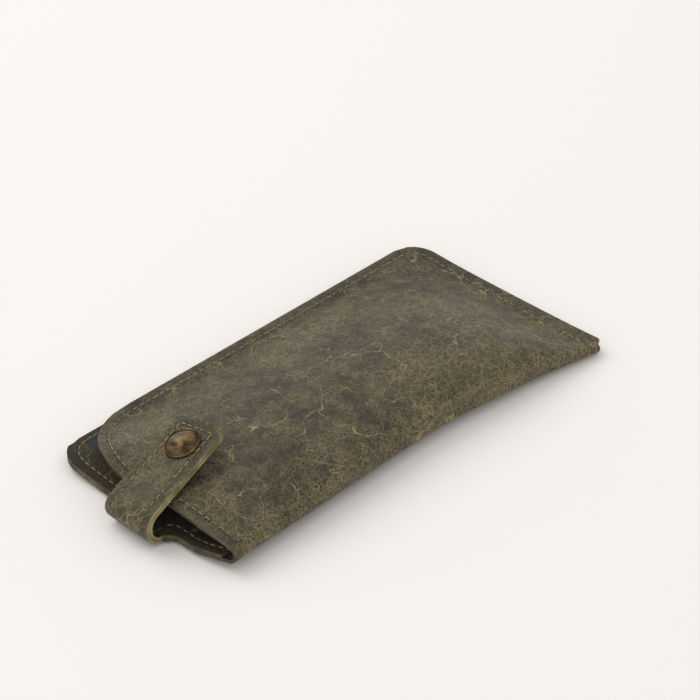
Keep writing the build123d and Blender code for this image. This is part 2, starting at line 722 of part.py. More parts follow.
def main():
    """Builds every piece and writes one STEP file for each."""
    os.makedirs("parts", exist_ok=True)
    shell, lining, facing = pouch_plies()
    bend = (LOWER_HINGE + HINGE_GAP, UPPER_HINGE - HINGE_GAP)
    end = (UPPER_HINGE + HINGE_GAP, BEND_END)
    cap_hole = axis_cylinder(BARREL_RADIUS + 0.05, 1.0, -FACED - 1)
    end_leather = strap_strip(*end, 0, LEATHER) + strap_flat(0, LEATHER) - cap_hole
    end_facing = strap_strip(*end, PLY_STACK, FACED) + strap_flat(PLY_STACK, FACED) - cap_hole

    stack = RIM_HALF - 0.05
    seam = spaced(SEAM_PATH)
    front_mouth = spaced(FRONT_MOUTH_PATH)
    back_mouth = [spaced(BACK_MOUTH_FOLD_PATH), spaced(BACK_MOUTH_SEAM_PATH)]
    root_rows = (-0.8, LOWER_HINGE - CUT_CLEAR)
    lined_leg, faced_leg = LINED / 2 - 0.05, FACED / 2 - 0.05

    def back_rows(lift, up):
        rows = [row_of_stitches(on_panel(run, back_under, lift, up), faced_leg) for run in back_mouth]
        rows.append(strap_stitches(*root_rows, FACED if up else 0))
        return Compound(children=rows)

    pieces = {
        "outer_shell": shell,
        "lining": lining,
        "mouth_facing": facing,
        "strap_bend_leather": strap_strip(*bend, 0, LEATHER),
        "strap_bend_facing": strap_strip(*bend, PLY_STACK, FACED),
        "strap_end_leather": end_leather,
        "strap_end_facing": end_facing,
        "snap_cap": snap_cap(),
        "snap_socket": snap_socket(),
        "snap_spring": snap_spring(),
        "snap_stud": snap_stud(),
        "snap_washer": snap_washer(),
        "snap_post": snap_post(),
        "seam_needle_thread": row_of_stitches(on_panel(seam, front_top, 0, True), stack),
        "seam_bobbin_thread": row_of_stitches(on_panel(seam, back_under, 0, False), stack),
        "front_mouth_needle_thread": row_of_stitches(on_panel(front_mouth, front_top, 0, True), lined_leg),
        "front_mouth_bobbin_thread": row_of_stitches(on_panel(front_mouth, front_top, -LINED, False), lined_leg),
        "back_mouth_needle_thread": back_rows(0, False),
        "back_mouth_bobbin_thread": back_rows(FACED, True),
        "strap_bend_needle_thread": strap_stitches(LOWER_HINGE + CUT_CLEAR, UPPER_HINGE - CUT_CLEAR, 0),
        "strap_bend_bobbin_thread": strap_stitches(LOWER_HINGE + CUT_CLEAR, UPPER_HINGE - CUT_CLEAR, FACED),
        "strap_end_needle_thread": strap_end_stitches(0),
        "strap_end_bobbin_thread": strap_end_stitches(FACED),
    }
    for name, piece in pieces.items():
        export_step(piece, f"parts/{name}.step")

    for name, place in (("lower", LOWER_HINGE), ("upper", UPPER_HINGE)):
        point, _, _, width = strap_frame(place)
        print(name, "hinge at", tuple(point), "axis", tuple(width * -1))
    print("bend turn", BEND_TURN, "degrees, strap length", round(STRAP_LENGTH, 1))
    print("panel under the stud's base by", round(PANEL_DEPTH + STUD_FOOT, 2))
    box = Compound(children=list(pieces.values())).bounding_box()
    print("box", tuple(box.min), tuple(box.max), "press stud leans", round(degrees(asin(-SNAP_NORMAL.X)), 1))


main()
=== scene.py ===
import logging
from dataclasses import dataclass, field
from enum import Enum
from math import asin, cos, hypot, pi, radians, sin, sqrt
from typing import Callable, Sequence

import bmesh
import bpy
from mathutils import Matrix, Vector, noise


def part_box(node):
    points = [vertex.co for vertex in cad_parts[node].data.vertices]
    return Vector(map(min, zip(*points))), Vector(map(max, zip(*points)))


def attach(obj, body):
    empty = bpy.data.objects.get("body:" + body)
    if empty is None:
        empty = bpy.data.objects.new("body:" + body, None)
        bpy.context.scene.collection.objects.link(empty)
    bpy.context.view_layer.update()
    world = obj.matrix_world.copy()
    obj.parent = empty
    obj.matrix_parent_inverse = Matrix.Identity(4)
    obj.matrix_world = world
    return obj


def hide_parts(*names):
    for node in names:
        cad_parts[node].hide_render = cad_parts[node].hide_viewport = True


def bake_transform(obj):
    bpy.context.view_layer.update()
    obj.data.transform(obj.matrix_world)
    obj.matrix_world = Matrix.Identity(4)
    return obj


"""Looks of a soft leather pouch case for glasses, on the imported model's frame.

The pouch is one cut of waxed pull-up leather, folded along one long side and sewn along the other and across the
closed end. A tongue of its back panel bends round the mouth and snaps on the front panel. Shapes are worked out in
millimetres, with x from the mouth edge, and placed in the frame in metres.
"""

LOG = logging.getLogger("pouch")
MM = 0.001
Tree = bpy.types.NodeTree
Socket = bpy.types.NodeSocket
Piece = bpy.types.Object
Material = bpy.types.Material

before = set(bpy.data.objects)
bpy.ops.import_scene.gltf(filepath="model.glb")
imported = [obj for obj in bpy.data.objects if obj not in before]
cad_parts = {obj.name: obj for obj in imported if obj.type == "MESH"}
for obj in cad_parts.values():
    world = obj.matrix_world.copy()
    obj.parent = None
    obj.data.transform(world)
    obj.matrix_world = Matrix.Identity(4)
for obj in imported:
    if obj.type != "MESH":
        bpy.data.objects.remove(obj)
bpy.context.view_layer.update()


# --- small tools ---


def to_linear(hex_colour: str) -> tuple[float, float, float, float]:
    """Turn an sRGB hex colour into linear RGBA.

    Args:
        hex_colour: Six hex digits, with or without a leading #.

    Returns:
        Linear red, green and blue, and an alpha of 1.
    """
    digits = hex_colour.lstrip("#")
    channels = []
    for start in (0, 2, 4):
        value = int(digits[start : start + 2], 16) / 255
        channels.append(value / 12.92 if value <= 0.04045 else ((value + 0.055) / 1.055) ** 2.4)
    return (channels[0], channels[1], channels[2], 1.0)


def add_node(
    tree: Tree, kind: str, settings: dict | None = None, inputs: dict | None = None
) -> bpy.types.Node:
    """Add a node with its settings and its inputs.

    Args:
        tree: The material's node tree.
        kind: The node's type name.
        settings: Attribute names and values.
        inputs: Input names or numbers, each with a value or the output socket that feeds it.

    Returns:
        The new node.
    """
    node = tree.nodes.new(kind)
    for name, value in (settings or {}).items():
        setattr(node, name, value)
    for name, value in (inputs or {}).items():
        if isinstance(value, Socket):
            tree.links.new(value, node.inputs[name])
        else:
            node.inputs[name].default_value = value
    return node


def clamp(value: float) -> float:
    """Hold a value between 0 and 1."""
    return min(max(value, 0.0), 1.0)


def ease(value: float) -> float:
    """Smooth step from 0 to 1."""
    share = clamp(value)
    return share * share * (3 - 2 * share)


def deselect_all() -> None:
    """Clear the selection that loading the frame leaves."""
    for thing in bpy.context.selected_objects:
        thing.select_set(False)


def make_active(piece: Piece) -> None:
    """Select one piece alone and make it the active one."""
    deselect_all()
    piece.select_set(True)
    bpy.context.view_layer.objects.active = piece


def apply_modifier(piece: Piece, kind: str, settings: dict) -> None:
    """Add a modifier with its settings and apply it.

    Args:
        piece: The piece it shapes.
        kind: The modifier's type name.
        settings: Attribute names and values.
    """
    make_active(piece)
    modifier = piece.modifiers.new(kind.title(), kind)
    for name, value in settings.items():
        setattr(modifier, name, value)
    bpy.ops.object.modifier_apply(modifier=modifier.name)


def smooth_by_angle(piece: Piece, angle: float) -> None:
    """Shade a piece smooth, with edges sharper than an angle in degrees kept."""
    make_active(piece)
    bpy.ops.object.shade_smooth_by_angle(angle=radians(angle))


def grid_piece(name: str, columns: int, rows: int) -> Piece:
    """Add a flat unit grid, whose corners run from (0, 0) to (1, 1).

    Args:
        name: The piece's name.
        columns: Cells along x.
        rows: Cells along y.

    Returns:
        The grid's object, at the origin.
    """
    deselect_all()
    bpy.ops.mesh.primitive_grid_add(x_subdivisions=columns, y_subdivisions=rows, size=1.0)
    piece = bpy.context.active_object
    piece.name = name
    piece.data.name = name
    for vertex in piece.data.vertices:
        vertex.co = Vector((vertex.co.x + 0.5, vertex.co.y + 0.5, 0.0))
    return piece


def join_copies(name: str, pattern: Piece, places: Sequence[Matrix]) -> Piece:
    """Copy a pattern's mesh to many places in one piece, and remove the pattern.

    Args:
        name: The new piece's name.
        pattern: The object whose mesh is copied.
        places: One matrix for each copy.

    Returns:
        The new piece, at the origin.
    """
    joined = bmesh.new()
    for place in places:
        first = len(joined.verts)
        joined.from_mesh(pattern.data)
        joined.verts.ensure_lookup_table()
        bmesh.ops.transform(joined, matrix=place, verts=joined.verts[first:])
    mesh = bpy.data.meshes.new(name)
    joined.to_mesh(mesh)
    joined.free()
    piece = bpy.data.objects.new(name, mesh)
    bpy.context.collection.objects.link(piece)
    bpy.data.objects.remove(pattern, do_unlink=True)
    return piece


def set_marks(piece: Piece, marks: Sequence[tuple[float, float, float]]) -> None:
    """Store wear, seam margin and stitch furrow at each point of a piece, for its material to read."""
    for name, values in zip(("wear", "margin", "groove"), zip(*marks)):
        attribute = piece.data.attributes.new(name, "FLOAT", "POINT")
        for cell, value in zip(attribute.data, values):
            cell.value = value


# --- finishes ---


def blank_material(name: str) -> tuple[Material, Tree, bpy.types.Node, Socket]:
    """Add a material and return it with its tree, its shader and its piece's coordinates."""
    material = bpy.data.materials.new(name)
    material.use_nodes = True
    tree = material.node_tree
    place = add_node(tree, "ShaderNodeTexCoord").outputs["Object"]
    return material, tree, tree.nodes["Principled BSDF"], place


def two_tone(tree: Tree, value: Socket, dark: tuple[float, str], light: tuple[float, str]) -> Socket:
    """Colour a value between two stops, each a position and a hex colour."""
    node = add_node(tree, "ShaderNodeValToRGB", {}, {"Fac": value})
    for element, (position, colour) in zip(node.color_ramp.elements, (dark, light)):
        element.position = position
        element.color = to_linear(colour)
    return node.outputs["Color"]


def roughen(tree: Tree, shader: bpy.types.Node, height: Socket, strength: float, depth_mm: float) -> None:
    """Give a shader fine relief from a height."""
    inputs = {"Height": height, "Strength": strength, "Distance": depth_mm * MM}
    tree.links.new(add_node(tree, "ShaderNodeBump", {}, inputs).outputs["Normal"], shader.inputs["Normal"])


def cloudy(tree: Tree, place: Socket, size_mm: float, detail: float, rough: float) -> Socket:
    """Add a cloudy pattern.

    Args:
        tree: The material's node tree.
        place: The coordinates it follows.
        size_mm: The size of its largest clouds.
        detail: How many finer layers it has.
        rough: How strong those layers are.

    Returns:
        A value from about 0 to 1.
    """
    inputs = {"Vector": place, "Scale": 1000 / size_mm, "Detail": detail, "Roughness": rough}
    return add_node(tree, "ShaderNodeTexNoise", {}, inputs).outputs["Fac"]


def warp(tree: Tree, place: Socket, size_mm: float, amount: float) -> Socket:
    """Push coordinates about by a cloudy pattern, so that straight cell walls wander."""
    cloud = add_node(tree, "ShaderNodeTexNoise", {}, {"Vector": place, "Scale": 1000 / size_mm, "Detail": 3.0})
    scaled = add_node(
        tree, "ShaderNodeVectorMath", {"operation": "SCALE"}, {0: cloud.outputs["Color"], "Scale": amount}
    )
    moved = add_node(tree, "ShaderNodeVectorMath", {"operation": "ADD"}, {0: place, 1: scaled.outputs["Vector"]})
    return moved.outputs["Vector"]


def ridges(tree: Tree, place: Socket, size_mm: float, width: float) -> Socket:
    """Add fine wandering lines, where a cloudy pattern crosses its middle value."""
    cloud = cloudy(tree, place, size_mm, 3.0, 0.55)
    off = add_node(tree, "ShaderNodeMath", {"operation": "SUBTRACT"}, {0: cloud, 1: 0.5}).outputs["Value"]
    size = add_node(tree, "ShaderNodeMath", {"operation": "ABSOLUTE"}, {0: off}).outputs["Value"]
    return band(tree, size, 0.0, width)


def most(tree: Tree, a: Socket, b: Socket) -> Socket:
    """Return the larger of two values."""
    return add_node(tree, "ShaderNodeMath", {"operation": "MAXIMUM"}, {0: a, 1: b}).outputs["Value"]


def cells(tree: Tree, place: Socket, size_mm: float) -> Socket:
    """Add a pattern of cells and return the distance from their walls."""
    inputs = {"Vector": place, "Scale": 1000 / size_mm}
    settings = {"feature": "DISTANCE_TO_EDGE"}
    return add_node(tree, "ShaderNodeTexVoronoi", settings, inputs).outputs["Distance"]


def band(tree: Tree, value: Socket, low: float, high: float) -> Socket:
    """Turn a value into 1 at low and 0 at high."""
    inputs = {"Value": value, "From Min": low, "From Max": high, "To Min": 1.0, "To Max": 0.0}
    return add_node(tree, "ShaderNodeMapRange", {"interpolation_type": "SMOOTHSTEP"}, inputs).outputs["Result"]


def band_up(tree: Tree, value: Socket, low: float, high: float, top: float) -> Socket:
    """Turn a value into 0 at low and top at high."""
    inputs = {"Value": value, "From Min": low, "From Max": high, "To Min": 0.0, "To Max": top}
    return add_node(tree, "ShaderNodeMapRange", {"interpolation_type": "SMOOTHSTEP"}, inputs).outputs["Result"]


def times(tree: Tree, a: Socket, b: Socket | None, factor: float = 1.0) -> Socket:
    """Multiply two values, or one value by a factor."""
    other = factor if b is None else b
    return add_node(tree, "ShaderNodeMath", {"operation": "MULTIPLY"}, {0: a, 1: other}).outputs["Value"]


def tint(tree: Tree, under: Socket, over: str, amount: Socket) -> Socket:
    """Lay a hex colour over another by an amount."""
    mix = add_node(tree, "ShaderNodeMix", {"data_type": "RGBA"})
    tree.links.new(amount, mix.inputs[0])
    tree.links.new(under, mix.inputs[6])
    mix.inputs[7].default_value = to_linear(over)
    return mix.outputs[2]


def sum_up(tree: Tree, terms: Sequence[tuple[Socket, float]]) -> Socket:
    """Add values, each by its own weight."""
    total: Socket | float = 0.0
    for value, weight in terms:
        node = add_node(
            tree, "ShaderNodeMath", {"operation": "MULTIPLY_ADD"}, {0: value, 1: weight, 2: total}
        )
        total = node.outputs["Value"]
    return total


@dataclass(frozen=True)
class PullUpLeather:
    """Waxed pull-up cowhide, drum milled: the wax moves where it is bent, so it goes pale and crackles there."""

    name: str = "pull_up_leather"
    deep: str = "1A150C"
    middle: str = "2E271A"
    pale: str = "413826"
    crackle: str = "9F9168"
    worn: str = "A59768"
    grain_mm: float = 1.5
    crack_mm: float = 3.4
    vein_mm: float = 17.0
    cloud_mm: float = 34.0
    roughness_low: float = 0.36
    roughness_high: float = 0.56

    def build(self) -> Material:
        """Make the material.

        Returns:
            Leather that reads the attributes wear, margin and groove.
        """
        material, tree, shader, place = blank_material(self.name)
        wear = add_node(tree, "ShaderNodeAttribute", {"attribute_name": "wear"}).outputs["Fac"]
        margin = add_node(tree, "ShaderNodeAttribute", {"attribute_name": "margin"}).outputs["Fac"]
        groove = add_node(tree, "ShaderNodeAttribute", {"attribute_name": "groove"}).outputs["Fac"]

        clouds = cloudy(tree, place, self.cloud_mm, 5.0, 0.62)
        patches = cloudy(tree, place, 7.0, 6.0, 0.65)
        pores = cloudy(tree, place, 0.9, 4.0, 0.6)
        warped = warp(tree, warp(tree, place, 4.0, 0.003), 1.1, 0.0011)
        grain = cells(tree, warped, self.grain_mm)
        web = band(tree, grain, 0.0, 0.13)
        creases = ridges(tree, place, 1.3, 0.04)
        crossed = ridges(tree, warp(tree, place, 9.0, 0.02), 1.9, 0.036)
        lines = most(tree, times(tree, web, None, 0.55), most(tree, creases, crossed))
        cracks = cells(tree, warp(tree, place, 5.0, 0.0035), self.crack_mm)
        long_lines = band(tree, cracks, 0.0, 0.075)
        far_warped = warp(tree, warp(tree, place, 24.0, 0.026), 6.0, 0.005)
        veins = band(tree, cells(tree, far_warped, self.vein_mm), 0.0, 0.014)
        fine_veins = band(tree, cells(tree, far_warped, self.vein_mm * 0.42), 0.0, 0.022)
        breaks = cloudy(tree, far_warped, 10.0, 3.0, 0.6)

        body = add_node(tree, "ShaderNodeValToRGB", {}, {"Fac": clouds})
        ramp = body.color_ramp
        ramp.elements[0].position = 0.34
        ramp.elements[0].color = to_linear(self.deep)
        ramp.elements[1].position = 0.66
        ramp.elements[1].color = to_linear(self.pale)
        middle = ramp.elements.new(0.48)
        middle.color = to_linear(self.middle)
        patched = tint(tree, body.outputs["Color"], self.deep, band_up(tree, patches, 0.45, 0.75, 0.35))
        fine_mask = times(tree, lines, band_up(tree, patches, 0.24, 0.72, 0.85))
        cracked = tint(tree, patched, self.crackle, fine_mask)
        long_mask = times(tree, long_lines, band_up(tree, clouds, 0.4, 0.62, 0.45))
        cracked = tint(tree, cracked, self.crackle, long_mask)
        vein_mask = times(tree, veins, band_up(tree, breaks, 0.38, 0.52, 0.95))
        veined = tint(tree, cracked, self.worn, vein_mask)
        side_mask = times(tree, fine_veins, band_up(tree, patches, 0.5, 0.62, 0.35))
        veined = tint(tree, veined, self.crackle, side_mask)
        speckle = band_up(tree, cloudy(tree, warped, 1.1, 6.0, 0.8), 0.42, 0.58, 0.95)
        webbed = times(tree, lines, speckle)
        rubbed = times(tree, wear, webbed)
        worn = tint(tree, veined, self.worn, rubbed)
        pressed = tint(tree, worn, self.deep, times(tree, margin, None, 0.3))
        # Painted shade: the stitch line's furrow is darkened towards 1C1813 by the groove mark, on top of its bump
        # relief.
        furrow_shaded = tint(tree, pressed, "1C1813", times(tree, groove, None, 0.5))
        tree.links.new(furrow_shaded, shader.inputs["Base Color"])

        gloss = add_node(
            tree,
            "ShaderNodeMapRange",
            {},
            {"Value": patches, "To Min": self.roughness_low, "To Max": self.roughness_high},
        )
        tree.links.new(gloss.outputs["Result"], shader.inputs["Roughness"])
        shader.inputs["Specular IOR Level"].default_value = 0.4

        height = sum_up(
            tree,
            [
                (grain, 0.5),
                (pores, 0.25),
                (creases, -0.5),
                (crossed, -0.4),
                (long_lines, -0.35),
                (veins, -0.9),
                (fine_veins, -0.4),
                (patches, 0.8),
                (groove, -0.9),
            ],
        )
        roughen(tree, shader, height, 0.85, 0.35)
        return material


@dataclass(frozen=True)
class SplitFacing(PullUpLeather):
    """Split leather glued behind the strap and the mouth: the same dye, flatter, with short fibres. Its colours, most
    of all its crackle and worn tones, are darkened as painted shade for the inside of the mouth.
    """

    name: str = "shaded_split_facing"
    # Painted shade: these colours are darker than the outer leather's, to stand in for the shade inside the mouth.
    deep: str = "18150E"
    middle: str = "292418"
    pale: str = "393323"
    crackle: str = "5E563C"
    worn: str = "6A6144"
    roughness_low: float = 0.6
    roughness_high: float = 0.8


@dataclass(frozen=True)
class RawEdge:
    """Cut edge of vegetable-tanned leather: pale tan fibres, rubbed brown here and there."""

    name: str = "raw_leather_edge"
    tan: str = "B0A376"
    brown: str = "7A6E4A"
    fibre_mm: float = 0.5

    def build(self) -> Material:
        """Make the material."""
        material, tree, shader, place = blank_material(self.name)
        fibres = cloudy(tree, place, self.fibre_mm, 4.0, 0.6)
        rubbed = cloudy(tree, place, 5.0, 4.0, 0.6)
        colour = two_tone(tree, rubbed, (0.4, self.brown), (0.7, self.tan))
        mottled = tint(
            tree, colour, self.brown, band_up(tree, fibres, 0.45, 0.7, 0.6)
        )
        tree.links.new(mottled, shader.inputs["Base Color"])
        shader.inputs["Roughness"].default_value = 0.82
        roughen(tree, shader, fibres, 0.7, 0.15)
        return material


@dataclass(frozen=True)
class BlackLining:
    """Black polyester lining, plain woven from fine yarn: matt, with a faint blue sheen."""

    name: str = "black_lining"
    dark: str = "0D0E11"
    lit: str = "20232A"
    yarn_mm: float = 0.45

    def build(self) -> Material:
        """Make the material."""
        material, tree, shader, place = blank_material(self.name)
        scale = 2 * pi / (self.yarn_mm * MM) / 20
        waves = []
        for direction in ("X", "Y"):
            settings = {"wave_type": "BANDS", "bands_direction": direction}
            inputs = {"Vector": place, "Scale": scale, "Distortion": 0.4, "Detail": 1.0}
            waves.append(add_node(tree, "ShaderNodeTexWave", settings, inputs).outputs["Fac"])
        weave = times(tree, waves[0], waves[1])
        fluff = cloudy(tree, place, 4.0, 4.0, 0.6)
        colour = two_tone(tree, fluff, (0.35, self.dark), (0.7, self.lit))
        tree.links.new(colour, shader.inputs["Base Color"])
        shader.inputs["Roughness"].default_value = 0.75
        shader.inputs["Sheen Weight"].default_value = 0.25
        roughen(tree, shader, weave, 0.5, 0.1)
        return material


@dataclass(frozen=True)
class WaxedThread:
    """Waxed polyester sewing thread: three twisted plies, soft gloss, grimed here and there, with painted shade in the
    grooves of the twist.
    """

    name: str = "waxed_thread"
    light: str = "A39770"
    grime_and_twist_shade: str = "675E42"
    twist_mm: float = 0.55

    def build(self) -> Material:
        """Make the material."""
        material, tree, shader, place = blank_material(self.name)
        settings = {"wave_type": "BANDS", "bands_direction": "DIAGONAL"}
        inputs = {"Vector": place, "Scale": 2 * pi / (self.twist_mm * MM) / 20, "Distortion": 0.6}
        twist = add_node(tree, "ShaderNodeTexWave", settings, inputs).outputs["Fac"]
        grime = cloudy(tree, place, 3.0, 3.0, 0.6)
        colour = two_tone(tree, grime, (0.3, self.grime_and_twist_shade), (0.6, self.light))
        # Painted shade: the grooves of the twist are darkened towards the grime colour.
        shade = band(tree, twist, 0.0, 0.5)
        dark = times(tree, shade, None, 0.5)
        colour = tint(tree, colour, self.grime_and_twist_shade, dark)
        tree.links.new(colour, shader.inputs["Base Color"])
        shader.inputs["Roughness"].default_value = 0.55
        roughen(tree, shader, twist, 0.6, 0.1)
        return material


@dataclass(frozen=True)
class AntiqueBrass:
    """Brass, oxidised brown and tumbled: high spots are rubbed back to yellow metal."""

    name: str = "antique_brass"
    bright: str = "7B684A"
    dark: str = "2E251A"
    cloud_mm: float = 4.0

    def build(self) -> Material:
        """Make the material."""
        material, tree, shader, place = blank_material(self.name)
        clouds = cloudy(tree, place, self.cloud_mm, 5.0, 0.6)
        scratches = cloudy(tree, place, 0.5, 3.0, 0.5)
        colour = two_tone(tree, clouds, (0.36, self.dark), (0.64, self.bright))
        tree.links.new(colour, shader.inputs["Base Color"])
        shader.inputs["Metallic"].default_value = 1.0
        rough = add_node(
            tree, "ShaderNodeMapRange", {}, {"Value": clouds, "To Min": 0.46, "To Max": 0.26}
        )
        tree.links.new(rough.outputs["Result"], shader.inputs["Roughness"])
        roughen(tree, shader, scratches, 0.25, 0.08)
        return material


@dataclass(frozen=True)
class StudioPaper:
    """Matt white background paper, with a faint warm cast."""

    name: str = "studio_paper"
    white: str = "F8F6F4"

    def build(self) -> Material:
        """Make the material."""
        material = bpy.data.materials.new(self.name)
        material.use_nodes = True
        shader = material.node_tree.nodes["Principled BSDF"]
        shader.inputs["Base Color"].default_value = to_linear(self.white)
        shader.inputs["Roughness"].default_value = 0.9
        return material


# --- shape of the pouch, in millimetres ---


class Panel(Enum):
    """The two panels on either side of the fold."""

    BACK = -1
    FRONT = 1


@dataclass
class PouchShape:
    """Where the leather lies: x from the mouth edge, t from -1, the back's sewn edge, by the fold to 1."""

    length: float = 168.0
    half_width: float = 43.0
    rim_mid: float = 4.2
    rim_half: float = 1.8
    fold_extra: float = 0.9
    fold_round: float = 0.036
    fold_power_mouth: float = 1.25
    fold_power: float = 2.2
    row_power: float = 2.2
    crest: float = 0.26
    rise_mouth: float = 5.4
    rise_full: float = 11.2
    rise_run: float = 50.0
    end_run: float = 46.0
    fall: float = 2.7
    fall_mouth: float = 1.4
    plateau: float = 0.24
    bow_mouth: float = 3.4
    bow_gain: float = 0.03
    bow_loss: float = 0.09
    bow_blend: float = 1.2
    flare: float = 1.0
    flare_from: float = 140.0
    flare_run: float = 28.0
    wobble: float = 0.35
    wobble_size: float = 23.0
    fold_lift: float = 2.0
    droop: float = 1.6
    droop_from: float = 112.0
    margin: float = 5.0
    front_setback: float = 2.0
    fold_setback: float = 3.0
    slant_from: float = -24.0
    front_corner: float = 32.0
    lobe_lift: float = 3.5
    lobe_run: float = 36.0
    lobe_from: float = 0.55
    lobe_width: float = 0.24
    back_corner: float = 11.0
    end_corner: float = 10.0
    fold_corner: float = 2.0
    end_slant: float = 2.2
    leather: float = 1.2
    lining: float = 0.5
    facing: float = 1.1
    glue: float = 0.05
    facing_depth: float = 10.0
    stitch_inset: float = 3.6
    mouth_x: float = field(init=False)

    def __post_init__(self) -> None:
        """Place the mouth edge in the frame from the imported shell's closed end."""
        self.mouth_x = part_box("outer_shell")[1][0] / MM - self.length

    def place(self, x: float, y: float, z: float) -> Vector:
        """Turn a point of the pouch in millimetres into the frame's metres."""
        return Vector(((self.mouth_x + x) * MM, y * MM, z * MM))

    def softened(self, share: float) -> float:
        """Return a share that leaves 0 gently."""
        soft = 0.08
        return (sqrt(share * share + soft * soft) - soft) / (sqrt(1 + soft * soft) - soft)

    def closing(self, x: float) -> float:
        """Return how full the pouch is at x, from 1 down to 0 at the closed end."""
        return 1 - (1 - self.softened(clamp((self.length - self.margin - x) / self.end_run))) ** 2

    def rise(self, x: float) -> float:
        """Return the front panel's crest above the rim."""
        opened = 1 - (1 - clamp(x / self.rise_run)) ** 2
        return (self.rise_mouth + (self.rise_full - self.rise_mouth) * opened) * self.closing(x)

    def drop(self, x: float) -> float:
        """Return the back panel's fall below the rim."""
        settled = 1 - (1 - clamp(x / self.rise_run)) ** 2
        return (self.fall_mouth + (self.fall - self.fall_mouth) * settled) * self.closing(x)

    def off_end(self, x: float) -> float:
        """Return a share that is 1 at the mouth and 0 at the closed end."""
        return 1 - clamp(x / self.length) ** 3

    def mid(self, x: float, q: float) -> float:
        """Return the height of the rim's middle."""
        lift = self.fold_lift * (1 - q) ** 8 * self.off_end(x)
        sunk = self.droop * clamp((x - self.droop_from) / (self.length - self.droop_from)) ** 2 * (1 - q**6)
        return self.rim_mid + lift - sunk

    def bowed(self, x: float) -> float:
        """Return the fold line's y without its waviness."""
        gain = self.bow_mouth + self.bow_gain * x
        loss = self.bow_loss * (self.length - x)
        return -self.half_width + (gain + loss - sqrt((gain - loss) ** 2 + self.bow_blend**2)) / 2

    def fold_y(self, x: float) -> float:
        """Return the fold line's y, drawn in most just past the middle."""
        flare = self.flare * ease((x - self.flare_from) / self.flare_run)
        wobble = self.wobble * noise.noise(Vector((x / self.wobble_size, 3.1, 0))) * ease(x / 20)
        return self.bowed(x) - flare + wobble

    def slant(self, y: float) -> float:
        """Return the share of the way back to the fold that the mouth edges have at y."""
        return clamp((self.slant_from - y) / (self.slant_from - self.bowed(0.0)))

    def front_share(self, q: float, x: float) -> float:
        """Return the share of the rise that the front panel has at q."""
        if q < self.crest:
            gain = self.fold_power - self.fold_power_mouth
            power = self.fold_power_mouth + gain * clamp(x / self.rise_run)
            return (1 - (1 - q / self.crest) ** power) ** (1 / power)
        width = self.half_width - self.fold_y(x)
        reach = width * (1 - self.crest) - self.margin
        away = self.softened(clamp((width * (1 - q) - self.margin) / reach))
        return 1 - (1 - away) ** 2

    def back_share(self, q: float) -> float:
        """Return the share of the fall that the back panel has at q."""
        return ease(min(q, 1 - self.margin / (2 * self.half_width) - q) / self.plateau)

    def lobe(self, x: float, q: float) -> float:
        """Return how far the front panel's free corner stands up."""
        return self.lobe_lift * ease(1 - x / self.lobe_run) * ease((q - self.lobe_from) / self.lobe_width)

    def half_stack(self, x: float, q: float) -> float:
        """Return half the thickness of the folded plies."""
        turned = clamp(q / self.fold_round)
        extra = self.fold_extra * (1 - q) ** 8 * (3 + self.off_end(x)) / 4
        return (self.rim_half + extra) * sqrt(1 - (1 - turned) ** 2)

    def dents(self, x: float, t: float, q: float) -> float:
        """Return how far handling has pushed the front panel out or in."""
        if t <= 0:
            return 0.0
        inside = ease(q / 0.12) * ease((1 - q) / 0.2) * ease((self.length - 4 - x) / 20)
        free_of_strap = 1 - ease((44 - x) / 16) * ease((22 - abs(q * 86 - 43)) / 10)
        broad = noise.noise(Vector((x / 34, q * 2.6, 1.7)))
        small = noise.noise(Vector((x / 11, q * 7.0, 4.2)))
        return (0.75 * broad + 0.22 * small) * inside * free_of_strap

    def skin(self, x: float, t: float) -> tuple[float, float]:
        """Return (y, z) of the outer skin."""
        q = abs(t) ** self.row_power
        y = self.fold_y(x) + q * (self.half_width - self.fold_y(x))
        stack = self.half_stack(x, q)
        if t < 0:
            return y, max(self.mid(x, q) - stack - self.drop(x) * self.back_share(q), 0.0)
        risen = self.rise(x) * self.front_share(q, x) + self.lobe(x, q)
        return y, self.mid(x, q) + stack + risen + self.dents(x, t, q)

    def ply(self, x: float, t: float, depth: float) -> Vector:
        """Return the point at a depth under the skin, in the frame's metres."""
        y0, z0 = self.skin(x, max(t - 0.006, -1.0))
        y1, z1 = self.skin(x, min(t + 0.006, 1.0))
        run = hypot(y1 - y0, z1 - z0)
        y, z = self.skin(x, t)
        return self.place(x, y + depth * (z1 - z0) / run, z - depth * (y1 - y0) / run)

    def t_of(self, panel: Panel, y: float, x: float) -> float:
        """Return t on a panel at a given y."""
        q = clamp((y - self.fold_y(x)) / (self.half_width - self.fold_y(x)))
        return panel.value * q ** (1 / self.row_power)

    def mouth_edge(self, panel: Panel, y: float) -> float:
        """Return x of a panel's mouth edge at y, without the strap."""
        corner = self.back_corner if panel is Panel.BACK else self.front_corner
        setback = 0.0 if panel is Panel.BACK else self.front_setback
        over = clamp((y - (self.half_width - corner)) / corner)
        return setback + corner * (1 - sqrt(1 - over * over)) + (self.fold_setback - setback) * self.slant(y)

    def end_edge(self, y: float) -> float:
        """Return x of the closed end at y."""
        over = clamp((y - (self.half_width - self.end_corner)) / self.end_corner)
        under = clamp((-self.half_width + self.fold_corner - y) / self.fold_corner)
        sewn = self.end_corner * (1 - sqrt(1 - over * over))
        folded = self.fold_corner * (1 - sqrt(1 - under * under))
        slant = self.end_slant * clamp((self.half_width - y) / (2 * self.half_width))
        return self.length - sewn - folded + slant


